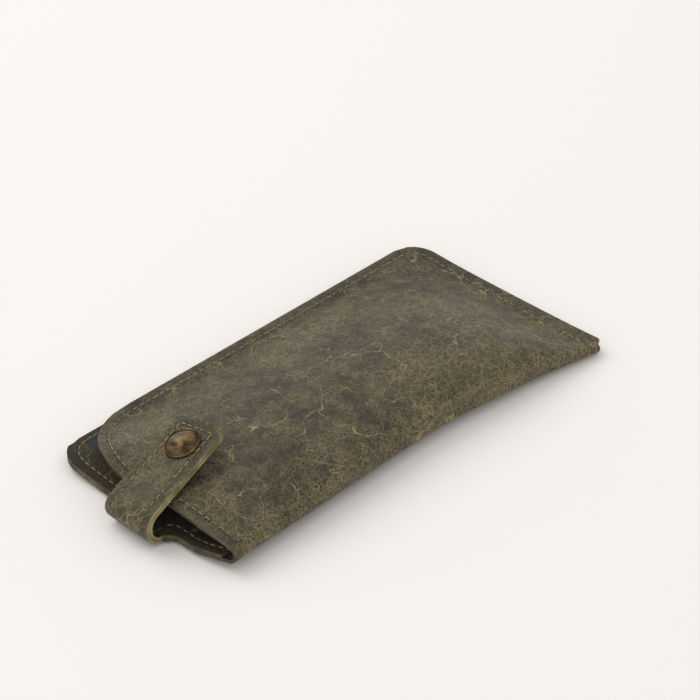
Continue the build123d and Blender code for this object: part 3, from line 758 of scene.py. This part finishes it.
@dataclass
class StrapShape:
    """The tongue that leaves the back panel's mouth edge, bends back and lies over the front panel."""

    pouch: PouchShape
    width: float = 20.0
    root_y: float = -2.7
    run: float = 3.6
    radius: float = 5.7
    pitch: float = 17.5
    skew: float = 7.0
    roll: float = 8.0
    end_length: float = 36.0
    corner: float = 4.0
    root_fillet: float = 5.0
    root_cut: float = 3.0
    stitch_inset: float = 3.2
    snap_along: float = 25.5

    @property
    def turn(self) -> float:
        """Whole turn of the bend, in radians."""
        return radians(180.0 - self.pitch)

    @property
    def bend_length(self) -> float:
        """Length of the outer face round the bend."""
        return self.radius * self.turn / cos(radians(self.skew / 2))

    @property
    def bend_end(self) -> float:
        """Place along the strap where the bend ends."""
        return self.run + self.bend_length

    @property
    def length(self) -> float:
        """Whole length of the strap."""
        return self.bend_end + self.end_length

    @property
    def middle(self) -> float:
        """Place along the strap where its two moving lengths meet."""
        return self.run + self.bend_length / 2

    def root_z(self) -> float:
        """Return the back panel's height at the strap's root."""
        t = self.pouch.t_of(Panel.BACK, self.root_y, 0.0)
        return self.pouch.skin(0.0, t)[1]

    def at(self, s: float) -> tuple[Vector, Vector, Vector, Vector]:
        """Return the outer face's point, outward normal, heading and width direction at s, in millimetres."""
        half_skew = radians(self.skew / 2)
        along = Vector((cos(half_skew), sin(half_skew), 0))
        sideways = Vector((-sin(half_skew), cos(half_skew), 0))
        up = Vector((0, 0, 1))
        turned = clamp((s - self.run) / self.bend_length) * self.turn
        heading = (up * sin(turned) - along * cos(turned)) * cos(half_skew) + sideways * sin(half_skew)
        normal = along * -sin(turned) - up * cos(turned)
        level = along * -cos(half_skew) + sideways * sin(half_skew)
        point = Vector((0, self.root_y, self.root_z())) + level * min(s, self.run)
        if s > self.run:
            drift = sideways * (sin(half_skew) * (min(s, self.bend_end) - self.run))
            point = point + up * self.radius + normal * self.radius + drift
        if s > self.bend_end:
            point = point + heading * (s - self.bend_end)
        rolled = radians(self.roll) * turned / self.turn
        across = normal.cross(heading)
        width = across * cos(rolled) - normal * sin(rolled)
        return point, normal * cos(rolled) + across * sin(rolled), heading, width

    def half_at(self, s: float) -> float:
        """Return half the strap's width at s, with the tip's two corners rounded."""
        left = clamp((self.corner - (self.length - s)) / self.corner)
        return self.width / 2 - self.corner * (1 - sqrt(1 - left * left))

    def surface(self, s: float, across: float, depth: float) -> Vector:
        """Return the point at s, a share across from -1 to 1 and a depth, in the frame's metres."""
        point, normal, _, width = self.at(s)
        crown = 0.25 * across * across * ease((s - self.run) / 6)
        spot = point + width * (self.half_at(s) * across) - normal * (depth + crown)
        return self.pouch.place(spot.x, spot.y, spot.z)

    def bend_ends(self) -> tuple[Vector, Vector, Vector]:
        """Return where the lower bending starts, where the two lengths meet and where the upper one ends."""
        places = (self.root_cut, self.middle, self.bend_end + 1.0)
        start, middle, end = (self.surface(s, 0.0, 0.0) for s in places)
        return start, middle, end

    def root_edge(self, y: float) -> float:
        """Return x of the back panel's mouth edge at y where the strap's root adds to it."""
        off = abs(y - self.root_y) - self.width / 2
        if off <= 0:
            return -self.root_cut
        if off >= self.root_fillet:
            return 0.0
        reach = self.root_fillet - sqrt(self.root_fillet**2 - (self.root_fillet - off) ** 2)
        return -min(reach, self.root_cut)


# --- leather, facing and lining ---


def groove_at(distance: float) -> float:
    """Return how deep the stitch line's furrow is at a distance from it, in millimetres."""
    return 1 - ease(abs(distance) / 0.9)


def thicken(piece: Piece, thickness: float, bevel: float, segments: int = 2) -> None:
    """Give a sheet its thickness, inwards, and soften its cut edges."""
    settings = {
        "thickness": thickness * MM,
        "offset": -1.0,
        "use_even_offset": False,
        "material_offset": 1,
        "material_offset_rim": 2,
    }
    apply_modifier(piece, "SOLIDIFY", settings)
    if bevel:
        limit = {"limit_method": "ANGLE", "angle_limit": radians(50)}
        apply_modifier(piece, "BEVEL", {"width": bevel * MM, "segments": segments, **limit})
    smooth_by_angle(piece, 50)


@dataclass
class Sleeve:
    """The shell, its lining and the facing of its mouth."""

    pouch: PouchShape
    strap: StrapShape
    columns: int = 230
    rows: int = 124
    materials: dict[str, Material] = field(default_factory=dict)

    def start_x(self, t: float, y: float, rooted: bool) -> float:
        """Return where a row of the sheet starts, at the mouth."""
        if t >= 0:
            return self.pouch.mouth_edge(Panel.FRONT, y)
        edge = self.pouch.mouth_edge(Panel.BACK, y)
        return edge + (self.strap.root_edge(y) if rooted else 0.0)

    def row_t(self, share: float, low: float, high: float) -> float:
        """Spread rows over t, closer together at the sewn edges."""
        eased = 0.5 - 0.5 * cos(pi * share)
        return low + (high - low) * (0.45 * share + 0.55 * eased)

    def wrap(
        self,
        name: str,
        size: tuple[int, int],
        span: tuple[float, float],
        depth: float,
        starts: Callable[[float, float], float],
        ends: Callable[[float, float], float],
    ) -> Piece:
        """Lay a grid over the pouch.

        Args:
            name: The piece's name.
            size: Cells along the pouch and across it.
            span: First and last t.
            depth: Depth under the skin, in millimetres.
            starts: Gives the x where a row starts from its t and y.
            ends: Gives the x where a row ends.

        Returns:
            The sheet, with its marks for the material.
        """
        piece = grid_piece(name, *size)
        marks = []
        for vertex in piece.data.vertices:
            t = self.row_t(vertex.co.y, *span)
            share = vertex.co.x
            y = self.pouch.skin(80.0, t)[0]
            for _ in range(2):
                first, last = starts(t, y), ends(t, y)
                along = 0.5 - 0.5 * cos(pi * share)
                x = first + (last - first) * (0.6 * share + 0.4 * along)
                y = self.pouch.skin(x, t)[0]
            vertex.co = self.pouch.ply(x, t, depth)
            marks.append(self.marks(x, y, t))
        set_marks(piece, marks)
        return piece

    def marks(self, x: float, y: float, t: float) -> tuple[float, float, float]:
        """Return wear, seam margin and stitch furrow at a place on the leather."""
        q = abs(t) ** self.pouch.row_power
        panel = Panel.FRONT if t >= 0 else Panel.BACK
        ridge = 1 - ease((q - 0.012) / 0.035)
        low_rim = 0.9 * ridge * ease((x + 2) / 10)
        front_corner = self.pouch.front_corner if t >= 0 else self.pouch.back_corner
        centre_x = (self.pouch.front_setback if t >= 0 else 0.0) + front_corner
        centre_y = self.pouch.half_width - front_corner
        edge = min(
            self.pouch.half_width - y,
            self.pouch.length - x,
            (x - centre_x + front_corner) if y < centre_y else 99.0,
        )
        if x < centre_x and y > centre_y:
            edge = min(edge, front_corner - hypot(x - centre_x, y - centre_y))
        furrow = groove_at(edge - self.pouch.stitch_inset)
        on_fold = q < 0.03 and panel is Panel.FRONT
        outside = 0.0 if on_fold else 1 - ease((edge - self.pouch.stitch_inset + 0.4) / 1.4)
        rubbed_edge = 0.5 * (1 - ease((edge - 0.2) / 1.0))
        end_wear = 0.35 * (1 - ease((self.pouch.length - x - 6) / 14)) * (1 - q)
        return clamp(max(low_rim, rubbed_edge, end_wear)), clamp(outside), clamp(furrow)

    def dress(self, piece: Piece, outside: str, inside: str, edge: str) -> None:
        """Give a sheet the materials of its outside, its inside and its cut edges."""
        for name in (outside, inside, edge):
            piece.data.materials.append(self.materials[name])

    def flat_size(self) -> tuple[float, float]:
        """Return the length and the unfolded width of the cut, in metres."""
        steps = 60
        x = 70.0
        points = [Vector(self.pouch.skin(x, -1 + 2 * i / steps)) for i in range(steps + 1)]
        girth = sum((b - a).length for a, b in zip(points, points[1:]))
        return self.pouch.length * MM, girth * MM

    def build(self) -> list[Piece]:
        """Build the shell, the lining and the mouth's facing.

        Returns:
            The three pieces.
        """
        pouch = self.pouch
        length, girth = self.flat_size()

        def end(t: float, y: float) -> float:
            return pouch.end_edge(y)

        shell = self.wrap(
            "shell_leather",
            (self.columns, self.rows),
            (-1.0, 1.0),
            0.0,
            lambda t, y: self.start_x(t, y, True),
            end,
        )
        self.dress(shell, "leather", "facing", "edge")
        thicken(shell, pouch.leather, 0.22)
        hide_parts("outer_shell")
        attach(shell, "case")

        def lining_start(t: float, y: float) -> float:
            return self.start_x(t, y, False) + 0.3 if t >= 0 else pouch.facing_depth

        def lining_end(t: float, y: float) -> float:
            return pouch.end_edge(y) - 0.4

        depth = pouch.leather + pouch.glue
        lining = self.wrap("lining_cloth", (110, 90), (-0.985, 0.985), depth, lining_start, lining_end)
        self.dress(lining, "lining", "lining", "lining")
        thicken(lining, pouch.lining - 0.05, 0.0)
        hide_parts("lining")
        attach(lining, "case")

        facing = self.wrap(
            "mouth_facing_leather",
            (40, 110),
            (-0.99, -0.28),
            depth,
            lambda t, y: self.start_x(t, y, True),
            lambda t, y: max(pouch.facing_depth, self.start_x(t, y, True) + 1.2),
        )
        self.dress(facing, "facing", "facing", "edge")
        thicken(facing, pouch.facing, 0.15)
        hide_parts("mouth_facing")
        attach(facing, "case")
        return [shell, lining, facing]


@dataclass
class Strap:
    """The strap's leather and its facing, each in two lengths that meet in the middle of the bend."""

    shape: StrapShape
    materials: dict[str, Material]

    def strip(self, name: str, span: tuple[float, float], depth: float, thickness: float) -> Piece:
        """Build one length of one ply.

        Args:
            name: The piece's name.
            span: Where it starts and ends along the strap.
            depth: Its outer face's depth under the strap's.
            thickness: Its thickness, in millimetres.

        Returns:
            The strip.
        """
        start, end = span
        tip = end > self.shape.bend_end
        piece = grid_piece(name, 90 if tip else 34, 30)
        marks = []
        inset = self.shape.stitch_inset
        for vertex in piece.data.vertices:
            share = sin(vertex.co.x * pi / 2) if tip else vertex.co.x
            s = start + (end - start) * share
            across = vertex.co.y * 2 - 1
            vertex.co = self.shape.surface(s, across, depth)
            edge = min(self.shape.width / 2 * (1 - abs(across)), self.shape.length - s)
            rubbed = 0.8 * (1 - ease((edge - 0.1) / 1.3))
            marks.append((rubbed, 1 - ease((edge - inset + 0.5) / 1.2), groove_at(edge - inset)))
        set_marks(piece, marks)
        for name_of in ("facing" if depth else "leather", "facing", "strap_edge"):
            piece.data.materials.append(self.materials[name_of])
        thicken(piece, thickness, 0.25, 3)
        return piece

    def build(self) -> list[Piece]:
        """Build the four lengths.

        Returns:
            The four pieces.
        """
        shape, pouch = self.shape, self.shape.pouch
        start, middle, end = shape.bend_ends()
        under = pouch.leather + pouch.glue
        plies = (
            ("leather", 0.0, pouch.leather, "leather_olive"),
            ("facing", under, pouch.facing, "leather_facing"),
        )
        pieces = []
        for ply, depth, thickness, slot in plies:
            lower = self.strip(f"strap_{ply}_lower", (shape.root_cut, shape.middle), depth, thickness)
            upper = self.strip(f"strap_{ply}_upper", (shape.middle, shape.length), depth, thickness)
            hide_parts(f"strap_bend_{ply}")
            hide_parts(f"strap_end_{ply}")
            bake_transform(lower)
            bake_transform(upper)
            pieces += [lower, upper]
        return pieces


# --- stitching ---


@dataclass
class Stitching:
    """Rows of lockstitch: short twisted bars of thread that dip into their holes."""

    pouch: PouchShape
    strap: StrapShape
    material: Material
    pitch: float = 3.0
    thread: float = 0.44
    seam_start: float = 34.0

    def stitch(self) -> Piece:
        """Model one stitch along x, from a cylinder that is subdivided, arched and pinched at its holes."""
        deselect_all()
        radius = self.thread / 2 * MM
        reach = (self.pitch - 0.45) * MM
        bpy.ops.mesh.primitive_cylinder_add(vertices=8, radius=radius, depth=reach, rotation=(0, pi / 2, 0))
        piece = bpy.context.active_object
        bpy.ops.object.transform_apply(location=True, rotation=True, scale=True)
        bpy.ops.object.mode_set(mode="EDIT")
        bpy.ops.mesh.select_all(action="SELECT")
        for cut in (-0.34, 0.0, 0.34):
            bpy.ops.mesh.select_all(action="SELECT")
            bpy.ops.mesh.bisect(plane_co=(cut * reach, 0, 0), plane_no=(1, 0, 0))
        bpy.ops.object.mode_set(mode="OBJECT")
        for vertex in piece.data.vertices:
            share = clamp(abs(vertex.co.x) / (reach / 2))
            vertex.co.y *= 1 - 0.35 * share**3
            vertex.co.z = vertex.co.z * (1 - 0.3 * share**3) - 0.34 * MM * share**3 + 0.08 * MM
        smooth_by_angle(piece, 60)
        return piece

    def row(self, name: str, runs: Sequence[Sequence[tuple[Vector, Vector]]]) -> Piece:
        """Lay stitches end to end along runs of (point, outward normal), in metres."""
        places = []
        for run in runs:
            for (a, normal_a), (b, normal_b) in zip(run, run[1:]):
                along = (b - a).normalized()
                normal = (normal_a + normal_b).normalized()
                normal = (normal - along * normal.dot(along)).normalized()
                side = normal.cross(along)
                turn = Matrix((along, side, normal)).transposed().to_4x4()
                stretch = Matrix.Diagonal(((b - a).length / (self.pitch * MM), 1, 1, 1))
                places.append(Matrix.Translation((a + b) / 2) @ turn @ stretch)
        piece = join_copies(name, self.stitch(), places)
        piece.data.materials.append(self.material)
        return piece

    def on_panel(self, panel: Panel, plan: Sequence[tuple[float, float]], depth: float) -> list[tuple[Vector, Vector]]:
        """Return (point, normal) on a panel for plan points; a depth turns the normal to the inside."""
        found = []
        for x, y in plan:
            t = self.pouch.t_of(panel, y, x)
            here = self.pouch.ply(x, t, depth)
            ahead = self.pouch.ply(x + 0.5, self.pouch.t_of(panel, y, x + 0.5), depth)
            across = self.pouch.ply(x, min(t + 0.01, 1.0), depth) - self.pouch.ply(x, max(t - 0.01, -1.0), depth)
            normal = (ahead - here).cross(across).normalized()
            found.append((here, normal if depth == 0 else -normal))
        return found

    def spaced(self, path: Sequence[tuple[float, float]]) -> list[tuple[float, float]]:
        """Return plan points a stitch apart along a path."""
        lengths = [0.0]
        for (x0, y0), (x1, y1) in zip(path, path[1:]):
            lengths.append(lengths[-1] + hypot(x1 - x0, y1 - y0))
        count = max(1, round(lengths[-1] / self.pitch))
        found = []
        for i in range(count + 1):
            want = lengths[-1] * i / count
            j = max(k for k in range(len(lengths) - 1) if lengths[k] <= want + 1e-9)
            share = (want - lengths[j]) / (lengths[j + 1] - lengths[j])
            (x0, y0), (x1, y1) = path[j], path[j + 1]
            found.append((x0 + (x1 - x0) * share, y0 + (y1 - y0) * share))
        return found

    @staticmethod
    def corner(centre: tuple[float, float], radius: float, first: float, last: float) -> list[tuple[float, float]]:
        """Return plan points round a corner, between two angles in degrees."""
        steps = 14
        angles = [radians(first + (last - first) * i / steps) for i in range(steps + 1)]
        return [(centre[0] + radius * cos(a), centre[1] + radius * sin(a)) for a in angles]

    def seam_path(self) -> list[tuple[float, float]]:
        """Return the seam's line along the sewn side and the closed end."""
        pouch = self.pouch
        inset, half = pouch.stitch_inset, pouch.half_width
        turn = self.corner((pouch.length - pouch.end_corner, half - pouch.end_corner), pouch.end_corner - inset, 90, 0)
        return [(self.seam_start, half - inset), *turn, (pouch.length - inset, -half + 4.5)]

    def front_path(self) -> list[tuple[float, float]]:
        """Return the row's line round the front panel's mouth."""
        pouch = self.pouch
        inset, half, corner = pouch.stitch_inset, pouch.half_width, pouch.front_corner
        centre = (pouch.front_setback + corner, half - corner)
        turn = self.corner(centre, corner - inset, 180, 90)
        first = pouch.bowed(0.0) + 5.0
        start = (pouch.mouth_edge(Panel.FRONT, first) + inset, first)
        return [start, (centre[0] - corner + inset, pouch.slant_from), *turn]

    def back_paths(self) -> list[list[tuple[float, float]]]:
        """Return the two rows' lines at the back panel's mouth, one on each side of the strap."""
        pouch, strap = self.pouch, self.strap
        inset, half, corner = pouch.stitch_inset, pouch.half_width, pouch.back_corner
        low = strap.root_y - strap.width / 2 + strap.stitch_inset
        high = strap.root_y + strap.width / 2 - strap.stitch_inset
        first = pouch.bowed(0.0) + 4.0
        fold_side = [(pouch.mouth_edge(Panel.BACK, first) + inset, first), (inset, pouch.slant_from)]
        fold_side += [(inset, low - 2.0), (1.0, low)]
        turn = self.corner((corner, half - corner), corner - inset, 180, 90)
        return [fold_side, [(1.0, high), (inset, high + 2.0), *turn, (17.0, half - inset)]]

    def strap_runs(self, span: tuple[float, float], depth: float) -> list[list[tuple[Vector, Vector]]]:
        """Return the strap's two side rows between two places along it."""
        strap = self.strap
        count = max(1, round((span[1] - span[0]) / self.pitch))
        runs = []
        for side in (-1, 1):
            run = []
            for i in range(count + 1):
                s = span[0] + (span[1] - span[0]) * i / count
                share = side * (strap.width / 2 - strap.stitch_inset) / (strap.width / 2)
                normal = strap.at(s)[1]
                run.append((strap.surface(s, share, depth), normal if depth == 0 else -normal))
            runs.append(run)
        return runs

    def tip_run(self, depth: float) -> list[tuple[Vector, Vector]]:
        """Return the row across the strap's tip."""
        strap = self.strap
        s = strap.length - strap.stitch_inset
        reach = (strap.width / 2 - strap.stitch_inset) / strap.half_at(s)
        normal = strap.at(s)[1]
        count = round(2 * (strap.width / 2 - strap.stitch_inset) / self.pitch)
        return [
            (strap.surface(s, -reach + 2 * reach * i / count, depth), normal if depth == 0 else -normal)
            for i in range(count + 1)
        ]

    def build(self) -> list[Piece]:
        """Build every row, and hang the case's rows on the case.

        Returns:
            The rows.
        """
        pouch, strap = self.pouch, self.strap
        seam = self.spaced(self.seam_path())
        front = self.spaced(self.front_path())
        back = [self.spaced(path) for path in self.back_paths()]
        lined = pouch.leather + pouch.glue + pouch.lining
        faced = pouch.leather + pouch.glue + pouch.facing
        root = (0.2, strap.root_cut)
        rows = {
            "seam_needle_thread": [self.on_panel(Panel.FRONT, seam, 0)],
            "seam_bobbin_thread": [self.on_panel(Panel.BACK, seam, 0)],
            "front_mouth_needle_thread": [self.on_panel(Panel.FRONT, front, 0)],
            "front_mouth_bobbin_thread": [self.on_panel(Panel.FRONT, front, lined)],
            "back_mouth_needle_thread": [self.on_panel(Panel.BACK, run, 0) for run in back],
            "back_mouth_bobbin_thread": [self.on_panel(Panel.BACK, run, faced) for run in back],
        }
        rows["back_mouth_needle_thread"] += self.strap_runs(root, 0)
        rows["back_mouth_bobbin_thread"] += self.strap_runs(root, faced)
        pieces = []
        for name, runs in rows.items():
            piece = self.row(f"{name}_row", runs)
            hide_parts(name)
            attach(piece, "case")
            pieces.append(piece)
        middle = strap.middle
        last = strap.length - strap.stitch_inset
        start, centre, end = strap.bend_ends()
        for side, depth in (("needle", 0.0), ("bobbin", faced)):
            lower = self.row(f"strap_{side}_thread_lower", self.strap_runs((strap.root_cut, middle), depth))
            runs = self.strap_runs((middle, last), depth)
            upper = self.row(f"strap_{side}_thread_upper", [*runs, self.tip_run(depth)])
            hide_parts(f"strap_bend_{side}_thread")
            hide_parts(f"strap_end_{side}_thread")
            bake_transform(lower)
            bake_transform(upper)
            pieces += [lower, upper]
        return pieces


# --- press stud ---


@dataclass
class PressStud:
    """Ring press stud: a domed cap with a rolled rim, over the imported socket, spring, stud, washer and post."""

    strap: StrapShape
    material: Material
    radius: float = 6.25
    dome: float = 1.55
    rim: float = 0.62

    def profile(self) -> list[tuple[float, float]]:
        """Return the cap's section as (radius, height): dome, shallow valley, rolled rim and underside."""
        inner = self.radius - 2 * self.rim * 0.62
        ball = (inner**2 + self.dome**2) / (2 * self.dome)
        half = asin(inner / ball)
        points = []
        for i in range(14):
            angle = half * i / 13
            points.append((ball * sin(angle), 0.55 + ball * cos(angle) - ball * cos(half)))
        centre_r, centre_z = self.radius - self.rim * 0.62, 0.42
        for i in range(11):
            angle = radians(140 - 230 * i / 10)
            points.append((centre_r + self.rim * 0.62 * cos(angle), centre_z + 0.42 * sin(angle)))
        points.append((centre_r - 0.5, 0.05))
        points.append((0.0, 0.05))
        return points

    def build(self) -> list[Piece]:
        """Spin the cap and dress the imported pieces.

        Returns:
            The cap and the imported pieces.
        """
        deselect_all()
        profile = [(max(r, 0.0) * MM, h * MM) for r, h in self.profile()]
        bpy.ops.mesh.primitive_plane_add(size=0.001)
        cap = bpy.context.active_object
        cap.name = "snap_cap_dome"
        section = bmesh.new()
        corners = [section.verts.new((r, 0, h)) for r, h in profile]
        for a, b in zip(corners, corners[1:]):
            section.edges.new((a, b))
        section.to_mesh(cap.data)
        section.free()
        bpy.ops.object.mode_set(mode="EDIT")
        bpy.ops.mesh.select_all(action="SELECT")
        bpy.ops.mesh.spin(steps=72, angle=2 * pi, center=(0, 0, 0), axis=(0, 0, 1))
        bpy.ops.mesh.select_all(action="SELECT")
        bpy.ops.mesh.remove_doubles(threshold=0.000004)
        bpy.ops.mesh.normals_make_consistent(inside=False)
        bpy.ops.object.mode_set(mode="OBJECT")
        point, normal, heading, _ = self.strap.at(self.strap.bend_end + self.strap.snap_along)
        spot = self.strap.pouch.place(point.x, point.y, point.z)
        side = normal.cross(heading).normalized()
        turn = Matrix((heading, side, normal)).transposed().to_4x4()
        cap.data.transform(Matrix.Translation(spot) @ turn)
        cap.location = (0, 0, 0)
        cap.data.materials.append(self.material)
        smooth_by_angle(cap, 55)
        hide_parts("snap_cap")
        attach(cap, "strap_end")
        pieces = [cap]
        for node in ("snap_socket", "snap_spring", "snap_stud", "snap_washer", "snap_post"):
            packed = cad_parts[node]
            packed.data.materials.clear()
            packed.data.materials.append(self.material)
            pieces.append(packed)
        return pieces


# --- studio ---


@dataclass
class Studio:
    """Camera, pale floor and soft light."""

    pouch: PouchShape
    azimuth: float = -45.24
    elevation: float = 36.1
    distance: float = 1.0179
    target_x: float = 110.87
    target_y: float = 18.22
    lens: float = 154.3

    def camera(self) -> None:
        """Place the camera."""
        azimuth, elevation = radians(self.azimuth), radians(self.elevation)
        back = Vector((sin(azimuth) * cos(elevation), -cos(azimuth) * cos(elevation), sin(elevation)))
        data = bpy.data.cameras.new("camera")
        data.lens = self.lens
        data.sensor_width = 36.0
        camera = bpy.data.objects.new("camera", data)
        bpy.context.collection.objects.link(camera)
        camera.location = self.pouch.place(self.target_x, self.target_y, 0.0) + back * self.distance
        camera.rotation_euler = back.to_track_quat("Z", "Y").to_euler()
        bpy.context.scene.camera = camera

    def light(self, name: str, place: tuple[float, float, float], size: float, power: float, tone: str) -> None:
        """Hang one square soft light that faces the pouch."""
        data = bpy.data.lights.new(name, "AREA")
        data.size = size
        data.energy = power
        data.color = to_linear(tone)[:3]
        lamp = bpy.data.objects.new(name, data)
        bpy.context.collection.objects.link(lamp)
        lamp.location = place
        lamp.rotation_euler = Vector(place).to_track_quat("Z", "Y").to_euler()

    def build(self) -> None:
        """Build the floor, the lights and the sky."""
        deselect_all()
        bpy.ops.mesh.primitive_plane_add(size=6.0, location=(0, 0, 0))
        floor = bpy.context.active_object
        floor.name = "studio_floor"
        floor.data.transform(Matrix.Translation((0, 0, -0.00005)))
        floor.data.materials.append(StudioPaper().build())
        self.light("key_light", (-0.2, 1.5, 1.7), 1.7, 17.0, "FFF8EE")
        self.light("fill_light", (-1.6, -0.9, 1.3), 2.0, 3.5, "F4F6FF")
        bpy.context.scene.view_settings.view_transform = "Standard"
        world = bpy.data.worlds.new("studio_sky")
        bpy.context.scene.world = world
        world.use_nodes = True
        sky = world.node_tree.nodes["Background"]
        sky.inputs["Color"].default_value = to_linear("F4F3F2")
        sky.inputs["Strength"].default_value = 0.84


def main() -> None:
    """Build the studio and the pouch, and report each piece."""
    logging.basicConfig(level=logging.INFO, format="%(name)s %(message)s")
    pouch = PouchShape()
    strap = StrapShape(pouch)
    studio = Studio(pouch)
    studio.camera()
    studio.build()
    materials = {
        "leather": PullUpLeather().build(),
        # The facing's darkened colours are painted shade for the inside of the shell, the mouth and the strap's
        # underside.
        "facing": SplitFacing().build(),
        "edge": RawEdge(name="mouth_edge", tan="6E6546", brown="352F20").build(),
        "strap_edge": RawEdge().build(),
        "lining": BlackLining().build(),
        "thread": WaxedThread().build(),
        "brass": AntiqueBrass().build(),
    }
    pieces = Sleeve(pouch, strap, materials=materials).build()
    pieces += Strap(strap, materials).build()
    pieces += Stitching(pouch, strap, materials["thread"]).build()
    pieces += PressStud(strap, materials["brass"]).build()
    for piece in pieces:
        LOG.info("%s has %d faces", piece.name, len(piece.data.polygons))


if __name__ == "__main__":
    main()
